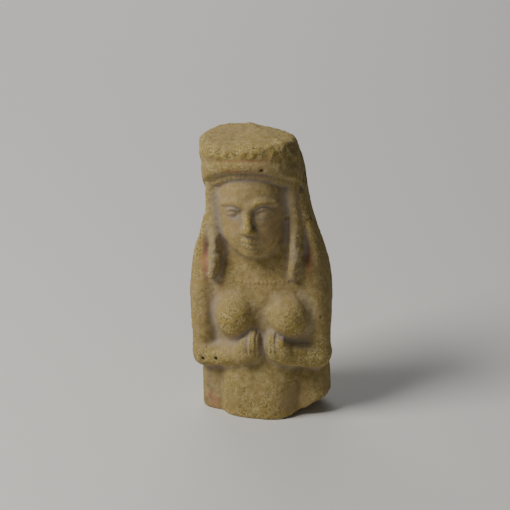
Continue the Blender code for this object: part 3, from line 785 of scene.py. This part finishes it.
def paint_left(points, patches, seed):
    """How much is left of what was painted in the patches, worn through in flecks."""
    left = np.zeros(len(points))
    flecks = lumps(points, 1.1, seed) + 0.6 * lumps(points, 3.5, seed + 1)
    for middle, half_sizes, strength in patches:
        away = np.linalg.norm((points - np.array(middle)) / np.array(half_sizes), axis=1)
        left = np.maximum(left, strength * fade(away - 0.45 * flecks, 1.3, 0.4))
    return left


def pit_depth(points):
    """How deep the small holes are, as a share of their full depth."""
    depth = np.zeros(len(points))
    for middle, radius in PITS:
        away = np.linalg.norm(points - np.array(middle), axis=1)
        depth = np.maximum(depth, np.exp(-((away / radius) ** 2)))
    return depth


def store(mesh, name, values):
    """Keeps a value for each point of the mesh, for the clay's material."""
    attribute = mesh.attributes.new(name, "FLOAT", "POINT")
    attribute.data.foreach_set("value", values.astype(np.float32))


def store_surface_marks(mesh, distance):
    """Works out where the crust holds, which is nowhere underneath, and where paint and stains are left; the
    blue-grey wash is also painted shade in the creases.
    """
    near, far = 1.0, 2.5
    points = get_points(mesh)
    slope = slope_at(points, distance)
    out = slope / np.maximum(np.linalg.norm(slope, axis=1, keepdims=True), 1e-6)
    crease = np.clip(1 - distance(points + near * out) / near, 0, 1)
    hollow = np.clip(1 - distance(points + far * out) / far, 0, 1)
    ridge = np.clip(1 + distance(points - far * out) / far, 0, 1)
    patchy = np.full(len(points), CRUST_LEVEL)
    for size, strength, seed in CRUST_LUMPS:
        patchy += strength * lumps(points, size, seed)
    on_figure = upright(points)
    patchy += patches_at(on_figure, CRUST_PATCHES)
    clear_of_floor = fade(points[:, 2], FOOT_CUT, FOOT_CUT + 1)
    below_hat_top = fade(on_figure[:, 2], HAT_TOP - 4, HAT_TOP - 7)
    pit = pit_depth(on_figure)
    off_pits = fade(pit, 0.15, 0.0)
    store(mesh, "crease", crease * (below_hat_top * off_pits))
    store(mesh, "crust", fade(ridge - hollow + patchy, BARE, CRUSTED) * clear_of_floor)
    store(mesh, "red_paint", paint_left(on_figure, RED_PAINT, 21))
    store(mesh, "stain", paint_left(on_figure, DARK_STAINS, 31))
    store(mesh, "blue_wash_and_crease_shade", paint_left(on_figure, BLUE_WASH_AND_CREASE_SHADE, 41))
    store(mesh, "pit", pit)


def fit_to_solid(obj):
    """Puts the clay where the solid is: the middle of its box's underside at the origin, at its height."""
    solid_low, solid_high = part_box("figurine")
    points = get_points(obj.data)
    low, high = points.min(axis=0), points.max(axis=0)
    foot = np.array([(low[0] + high[0]) / 2, (low[1] + high[1]) / 2, low[2]])
    solid_foot = np.array([(solid_low.x + solid_high.x) / 2, (solid_low.y + solid_high.y) / 2, solid_low.z])
    scale = (solid_high.z - solid_low.z) / (high[2] - low[2])
    set_points(obj.data, (points - foot) * scale + solid_foot)


def linear(hex_colour):
    """A material's colour from its sRGB hex value."""
    shares = [int(hex_colour[i:i + 2], 16) / 255 for i in (1, 3, 5)]
    return [s / 12.92 if s <= 0.04045 else ((s + 0.055) / 1.055) ** 2.4 for s in shares] + [1.0]


def add(tree, kind, inputs=None, **settings):
    """Adds a node. inputs gives a socket, by name or number, a value, an output or a node's first output."""
    node = tree.nodes.new(kind)
    for name, value in settings.items():
        setattr(node, name, value)
    for key, value in (inputs or {}).items():
        source = value.outputs[0] if isinstance(value, bpy.types.Node) else value
        if isinstance(source, bpy.types.NodeSocket):
            tree.links.new(source, node.inputs[key])
        else:
            node.inputs[key].default_value = source
    return node


def fired_clay():
    """Low-fired buff clay from a mould, long buried: dull and dry, sandy where it is worn and smoother in its
    hollows. It wanders from olive to pink, and slip and paint are left as grey in its creases and as red. A
    blue-grey wash of paint is strengthened in the creases as painted shade, and the small holes are painted
    nearly black as painted shade."""
    material = bpy.data.materials.new("low_fired_clay")
    material.use_nodes = True
    tree = material.node_tree
    shader = tree.nodes["Principled BSDF"]
    place = add(tree, "ShaderNodeTexCoord").outputs["Object"]
    crust = add(tree, "ShaderNodeAttribute", attribute_name="crust").outputs["Fac"]
    crease = add(tree, "ShaderNodeAttribute", attribute_name="crease").outputs["Fac"]
    red_paint = add(tree, "ShaderNodeAttribute", attribute_name="red_paint").outputs["Fac"]
    blue_wash_and_crease_shade = add(tree, "ShaderNodeAttribute", attribute_name="blue_wash_and_crease_shade").outputs["Fac"]
    stain = add(tree, "ShaderNodeAttribute", attribute_name="stain").outputs["Fac"]
    pit = add(tree, "ShaderNodeAttribute", attribute_name="pit").outputs["Fac"]

    # The grit of the paste, the clumps of the crust, and the broad patches of a slightly different firing.
    grit = add(tree, "ShaderNodeTexNoise", {"Vector": place, "Scale": 1 / GRIT, "Detail": 2.0})
    clumps = add(tree, "ShaderNodeTexNoise", {"Vector": place, "Scale": 1 / CLUMP, "Detail": 3.0})
    patches = add(tree, "ShaderNodeTexNoise", {"Vector": place, "Scale": 1 / FIRING_PATCH, "Detail": 3.0})
    grain = add(tree, "ShaderNodeMapRange", {VALUE: grit, FROM_MIN: NOISE_LOW, FROM_MAX: NOISE_HIGH})
    mottle = add(tree, "ShaderNodeMapRange", {VALUE: clumps, FROM_MIN: NOISE_LOW, FROM_MAX: NOISE_HIGH})

    pinkish = add(tree, "ShaderNodeMapRange", {VALUE: patches, FROM_MIN: 0.42, FROM_MAX: 0.6, TO_MAX: 0.7})
    paste = {SHARE: mottle, UNDER: linear(BUFF_CLAY), OVER: linear(BUFF_CLAY_DARK)}
    paste = add(tree, "ShaderNodeMix", paste, data_type="RGBA").outputs[2]
    paste = {SHARE: pinkish, UNDER: paste, OVER: linear(PINK_CLAY)}
    paste = add(tree, "ShaderNodeMix", paste, data_type="RGBA").outputs[2]
    speckle = {VALUE: grit, FROM_MIN: NOISE_LOW, FROM_MAX: NOISE_HIGH, TO_MAX: 0.55}
    speckle = add(tree, "ShaderNodeMapRange", speckle)
    paste = {SHARE: speckle, UNDER: paste, OVER: linear(BUFF_CLAY_DARK)}
    paste = add(tree, "ShaderNodeMix", paste, data_type="RGBA").outputs[2]
    sand = {SHARE: grain, UNDER: linear(SAND_DARK), OVER: linear(SAND_LIGHT)}
    sand = add(tree, "ShaderNodeMix", sand, data_type="RGBA").outputs[2]
    ochre = add(tree, "ShaderNodeMapRange", {VALUE: clumps, FROM_MIN: 0.46, FROM_MAX: 0.6, TO_MAX: 0.8})
    sand = {SHARE: ochre, UNDER: sand, OVER: linear(SAND_OCHRE)}
    sand = add(tree, "ShaderNodeMix", sand, data_type="RGBA").outputs[2]
    colour = add(tree, "ShaderNodeMix", {SHARE: crust, UNDER: paste, OVER: sand}, data_type="RGBA").outputs[2]

    # Pores between the grains, which are dark, all over but fewest in the smooth hollows.
    pores = add(tree, "ShaderNodeMapRange", {VALUE: grit, FROM_MIN: 0.42, FROM_MAX: 0.3, TO_MAX: 0.38})
    open_pores = add(tree, "ShaderNodeMapRange", {VALUE: crust, TO_MIN: 0.4, TO_MAX: 0.9})
    pores = add(tree, "ShaderNodeMath", {0: pores, 1: open_pores}, operation="MULTIPLY")

    # What lies on the clay, each over the one before, and how much of it is left. The blue-grey wash is also
    # painted shade in the creases, and the black in the small holes is painted shade.
    grey = add(tree, "ShaderNodeMapRange", {VALUE: crease, FROM_MIN: 0.08, FROM_MAX: 0.6, TO_MAX: 0.75})
    # The blue-grey wash, strengthened by the crease mask: real paint in its patches and painted shade in the
    # creases.
    wash_and_crease_shade = {VALUE: crease, FROM_MIN: 0.0, FROM_MAX: 0.4, TO_MIN: 0.15, TO_MAX: 0.8}
    wash_and_crease_shade = add(tree, "ShaderNodeMapRange", wash_and_crease_shade)
    wash_and_crease_shade = add(tree, "ShaderNodeMath", {0: wash_and_crease_shade, 1: blue_wash_and_crease_shade}, operation="MULTIPLY")
    red = {VALUE: grit, FROM_MIN: 0.3, FROM_MAX: 0.6, TO_MIN: 0.3, TO_MAX: 0.9}
    red = add(tree, "ShaderNodeMapRange", red)
    red = add(tree, "ShaderNodeMath", {0: red, 1: red_paint}, operation="MULTIPLY")
    brown = add(tree, "ShaderNodeMapRange", {VALUE: clumps, FROM_MIN: 0.45, FROM_MAX: 0.62})
    brown = add(tree, "ShaderNodeMath", {0: brown, 1: stain}, operation="MULTIPLY")
    # The small holes are painted nearly black: painted shade inside them.
    hole_shade = add(tree, "ShaderNodeMapRange", {VALUE: pit, FROM_MIN: 0.15, FROM_MAX: 0.5})
    layers = [(pores, PORE_BROWN), (grey, CREASE_GREY), (wash_and_crease_shade, BLUE_GREY_AND_CREASE_SHADE), (red, RED_OCHRE),
              (brown, STAIN_BROWN), (hole_shade, PIT_SHADE)]
    for left, layer_colour in layers:
        colour = {SHARE: left, UNDER: colour, OVER: linear(layer_colour)}
        colour = add(tree, "ShaderNodeMix", colour, data_type="RGBA").outputs[2]
    tree.links.new(colour, shader.inputs["Base Color"])

    rough = add(tree, "ShaderNodeMapRange", {VALUE: crust, TO_MIN: 0.4, TO_MAX: 1.0})
    fine = add(tree, "ShaderNodeMath", {0: grit, 1: rough}, operation="MULTIPLY")
    relief = add(tree, "ShaderNodeMath", {0: clumps, 1: 1.2, 2: fine}, operation="MULTIPLY_ADD")
    bump = add(tree, "ShaderNodeBump", {"Height": relief, "Strength": 0.7, "Distance": BUMP_HEIGHT})
    tree.links.new(bump.outputs["Normal"], shader.inputs["Normal"])
    shader.inputs["Roughness"].default_value = 0.95
    shader.inputs["IOR"].default_value = 1.45
    shader.inputs["Specular IOR Level"].default_value = 0.2
    return material


def crust_sand():
    """Grains of buried sand that the crust holds: dull, from straw to olive and brown, no two alike."""
    material = bpy.data.materials.new("crust_sand")
    material.use_nodes = True
    tree = material.node_tree
    shader = tree.nodes["Principled BSDF"]
    place = add(tree, "ShaderNodeTexCoord").outputs["Object"]
    kind = add(tree, "ShaderNodeTexNoise", {"Vector": place, "Scale": 1 / GRIT, "Detail": 1.0})
    share = add(tree, "ShaderNodeMapRange", {VALUE: kind, FROM_MIN: NOISE_LOW, FROM_MAX: NOISE_HIGH})
    colour = {SHARE: share, UNDER: linear(SAND_DARK), OVER: linear(SAND_LIGHT)}
    colour = add(tree, "ShaderNodeMix", colour, data_type="RGBA").outputs[2]
    tree.links.new(colour, shader.inputs["Base Color"])
    shader.inputs["Roughness"].default_value = 0.9
    shader.inputs["IOR"].default_value = 1.5
    shader.inputs["Specular IOR Level"].default_value = 0.25
    return material


def studio_paper():
    """Pale matt backdrop paper, quite even."""
    material = bpy.data.materials.new("backdrop_paper")
    material.use_nodes = True
    shader = material.node_tree.nodes["Principled BSDF"]
    shader.inputs["Base Color"].default_value = linear(PAPER)
    shader.inputs["Roughness"].default_value = 0.9
    return material


def new_tree(name, numbers):
    """An empty tree of geometry nodes, with the mesh and the named numbers as its inputs."""
    tree = bpy.data.node_groups.new(name, "GeometryNodeTree")
    tree.interface.new_socket("Geometry", in_out="INPUT", socket_type="NodeSocketGeometry")
    tree.interface.new_socket("Geometry", in_out="OUTPUT", socket_type="NodeSocketGeometry")
    for number in numbers:
        tree.interface.new_socket(number, in_out="INPUT", socket_type="NodeSocketFloat")
    return tree


def grow(obj, tree, numbers):
    """Runs a tree on the object with the numbers that its inputs take, and keeps the result as plain mesh."""
    skin = obj.modifiers.new(tree.name, "NODES")
    skin.node_group = tree
    for item in tree.interface.items_tree:
        if item.in_out == "INPUT" and item.name in numbers:
            skin[item.identifier] = numbers[item.name]
    keep_result(obj)


def sandy_skin(material, numbers):
    """Lifts clumps and grains out of the crust as real relief, and leaves the hollows smoother."""
    tree = new_tree("sandy_skin", numbers)
    group = add(tree, "NodeGroupInput").outputs
    place = add(tree, "GeometryNodeInputPosition")
    crust = add(tree, "GeometryNodeInputNamedAttribute", {"Name": "crust"}, data_type="FLOAT")
    share = add(tree, "ShaderNodeMapRange", {VALUE: crust, TO_MIN: 0.3, TO_MAX: 1.0})
    lifts = []
    for kind in ("Clump", "Grain"):
        scale = add(tree, "ShaderNodeMath", {0: 1.0, 1: group[f"{kind} Size"]}, operation="DIVIDE")
        settings = {"Vector": place, "W": group["Seed"], "Scale": scale, "Detail": 1.5}
        noise = add(tree, "ShaderNodeTexNoise", settings, noise_dimensions="4D")
        level = add(tree, "ShaderNodeMath", {0: noise, 1: 0.5}, operation="SUBTRACT")
        height = group[f"{kind} Height"]
        lifts.append(add(tree, "ShaderNodeMath", {0: level, 1: height}, operation="MULTIPLY"))
    both = add(tree, "ShaderNodeMath", {0: lifts[0], 1: lifts[1]}, operation="ADD")
    lift = add(tree, "ShaderNodeMath", {0: both, 1: share}, operation="MULTIPLY")
    normal = add(tree, "GeometryNodeInputNormal")
    offset = add(tree, "ShaderNodeVectorMath", {0: normal, "Scale": lift}, operation="SCALE")
    moved = add(tree, "GeometryNodeSetPosition", {"Geometry": group["Geometry"], "Offset": offset})
    real = add(tree, "GeometryNodeRealizeInstances", {"Geometry": moved})
    dressed = add(tree, "GeometryNodeSetMaterial", {"Geometry": real, "Material": material})
    add(tree, "NodeGroupOutput", {"Geometry": dressed})
    return tree


def sand_on_skin(material, numbers):
    """Beds grains of sand in the crust: small angular pebbles, each partly sunk and turned its own way."""
    tree = new_tree("sand_on_skin", numbers)
    group = add(tree, "NodeGroupInput").outputs
    crust = add(tree, "GeometryNodeInputNamedAttribute", {"Name": "crust"}, data_type="FLOAT")
    sown = add(tree, "ShaderNodeMath", {0: crust, 1: group["Grains per m2"]}, operation="MULTIPLY")
    spread = {"Mesh": group["Geometry"], "Density": sown, "Seed": SAND_SEED}
    spread = add(tree, "GeometryNodeDistributePointsOnFaces", spread)
    pebble = add(tree, "GeometryNodeMeshIcoSphere", {"Radius": 0.5, "Subdivisions": 1})
    chance = add(tree, "FunctionNodeRandomValue", {"Seed": SAND_SEED + 1}, data_type="FLOAT").outputs[1]
    mostly_small = add(tree, "ShaderNodeMath", {0: chance, 1: SAND_MOSTLY_SMALL}, operation="POWER")
    share = add(tree, "ShaderNodeMapRange", {VALUE: mostly_small, TO_MIN: SAND_LEAST_SHARE})
    width = add(tree, "ShaderNodeMath", {0: group["Grain Size"], 1: share}, operation="MULTIPLY")
    shape = {"Min": (0.7, 0.7, 0.7), "Max": (1.1, 1.1, 1.1), "Seed": SAND_SEED + 2}
    shape = add(tree, "FunctionNodeRandomValue", shape, data_type="FLOAT_VECTOR")
    size = add(tree, "ShaderNodeVectorMath", {0: shape, "Scale": width}, operation="SCALE")
    turn = {"Max": (math.tau, math.tau, math.tau), "Seed": SAND_SEED + 3}
    turn = add(tree, "FunctionNodeRandomValue", turn, data_type="FLOAT_VECTOR")
    depth = add(tree, "ShaderNodeMath", {0: width, 1: -SAND_SUNK}, operation="MULTIPLY")
    inwards = {0: spread.outputs["Normal"], "Scale": depth}
    inwards = add(tree, "ShaderNodeVectorMath", inwards, operation="SCALE")
    bedded = add(tree, "GeometryNodeSetPosition", {"Geometry": spread, "Offset": inwards})
    settings = {"Points": bedded, "Instance": pebble, "Rotation": turn, "Scale": size}
    pebbles = add(tree, "GeometryNodeInstanceOnPoints", settings)
    real = add(tree, "GeometryNodeRealizeInstances", {"Geometry": pebbles})
    dressed = add(tree, "GeometryNodeSetMaterial", {"Geometry": real, "Material": material})
    add(tree, "NodeGroupOutput", {"Geometry": dressed})
    return tree


def make_clay():
    """The whole figurine as one skin of clay, with its carving, its marks and its sandy relief."""
    form = whole_figure()
    form.raise_by(lambda points: -PIT_DEPTH * pit_depth(points), PITS_LOW, PITS_HIGH)

    def distance(points):
        return standing_figure(form, points)

    clay = make_blank(bpy.context.scene.collection)
    press(clay, distance)
    for grain in SKIN_GRAINS:
        even_skin(clay, grain)
        settle(clay, distance, 3)
    drop_crumbs(clay)
    cut_flat(clay)
    store_surface_marks(clay.data, distance)
    fit_to_solid(clay)
    relief = {"Clump Size": CLUMP, "Clump Height": CLUMP_HEIGHT, "Grain Size": GRAIN,
              "Grain Height": GRAIN_HEIGHT, "Seed": RELIEF_SEED}
    grow(clay, sandy_skin(fired_clay(), relief), relief)
    clay.data.shade_smooth()
    clay.name = "clay_figurine"
    return clay


def make_sand(clay):
    """The grains of sand on the clay, as a piece of their own."""
    sand = bpy.data.objects.new("crust_sand", clay.data.copy())
    bpy.context.scene.collection.objects.link(sand)
    numbers = {"Grains per m2": SAND_PER_M2, "Grain Size": SAND_SIZE}
    grow(sand, sand_on_skin(crust_sand(), numbers), numbers)
    return sand


def lay_floor():
    """A floor of backdrop paper that is wide enough to fill the view from any side."""
    bpy.ops.mesh.primitive_plane_add(size=FLOOR_SIZE)
    floor = bpy.context.object
    floor.name = "floor"
    floor.data.materials.append(studio_paper())
    return floor


def add_softbox(name, azimuth, elevation, size, power, tint):
    """A square soft light that faces the figurine. Azimuth 0 is in front of it and 90 to its left."""
    light = bpy.data.lights.new(name, "AREA")
    light.energy = power
    light.size = size
    light.color = tint
    softbox = bpy.data.objects.new(name, light)
    bpy.context.scene.collection.objects.link(softbox)
    back = direction(azimuth, elevation)
    softbox.location = Vector(LIGHT_AIM) + back * LIGHT_DISTANCE
    softbox.rotation_euler = back.to_track_quat("Z", "Y").to_euler()


def direction(azimuth, elevation):
    """From the figurine towards a place that far round it and that far above the floor, in degrees."""
    a, e = math.radians(azimuth), math.radians(elevation)
    return Vector((math.sin(a) * math.cos(e), -math.cos(a) * math.cos(e), math.sin(e)))


def light_scene():
    world = bpy.data.worlds.new("studio")
    bpy.context.scene.world = world
    world.use_nodes = True
    background = world.node_tree.nodes["Background"]
    background.inputs["Color"].default_value = linear(ROOM_LIGHT)
    background.inputs["Strength"].default_value = ROOM_STRENGTH
    add_softbox("key_light", KEY_AZIMUTH, KEY_ELEVATION, KEY_SIZE, KEY_POWER, KEY_TINT)
    add_softbox("back_light", BACK_AZIMUTH, BACK_ELEVATION, BACK_SIZE, BACK_POWER, BACK_TINT)


def place_camera():
    """A long lens from the photograph's side, so that the picture is FRAME_WIDTH wide at the figurine."""
    camera = bpy.data.cameras.new("camera")
    holder = bpy.data.objects.new("camera", camera)
    bpy.context.scene.collection.objects.link(holder)
    back = direction(CAMERA_AZIMUTH, CAMERA_ELEVATION)
    turn = back.to_track_quat("Z", "Y")
    aim = Vector(FIGURE_MIDDLE) + turn @ Vector((AIM_RIGHT, AIM_UP, 0))
    holder.location = aim + back * CAMERA_DISTANCE
    holder.rotation_euler = turn.to_euler()
    camera.lens = camera.sensor_width * CAMERA_DISTANCE / FRAME_WIDTH
    camera.clip_start = 0.01
    bpy.context.scene.camera = holder


def clear_scene():
    """Removes whatever the new file holds beside the frame."""
    kept = list(frame["nodes"].values()) + list(frame["bodies"].values())
    for obj in [obj for obj in bpy.data.objects if obj not in kept]:
        bpy.data.objects.remove(obj)


clear_scene()
place_camera()
light_scene()
lay_floor()
clay = make_clay()
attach(clay, "root")
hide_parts("figurine")
sand = make_sand(clay)
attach(sand, "root")
bpy.context.view_layer.update()
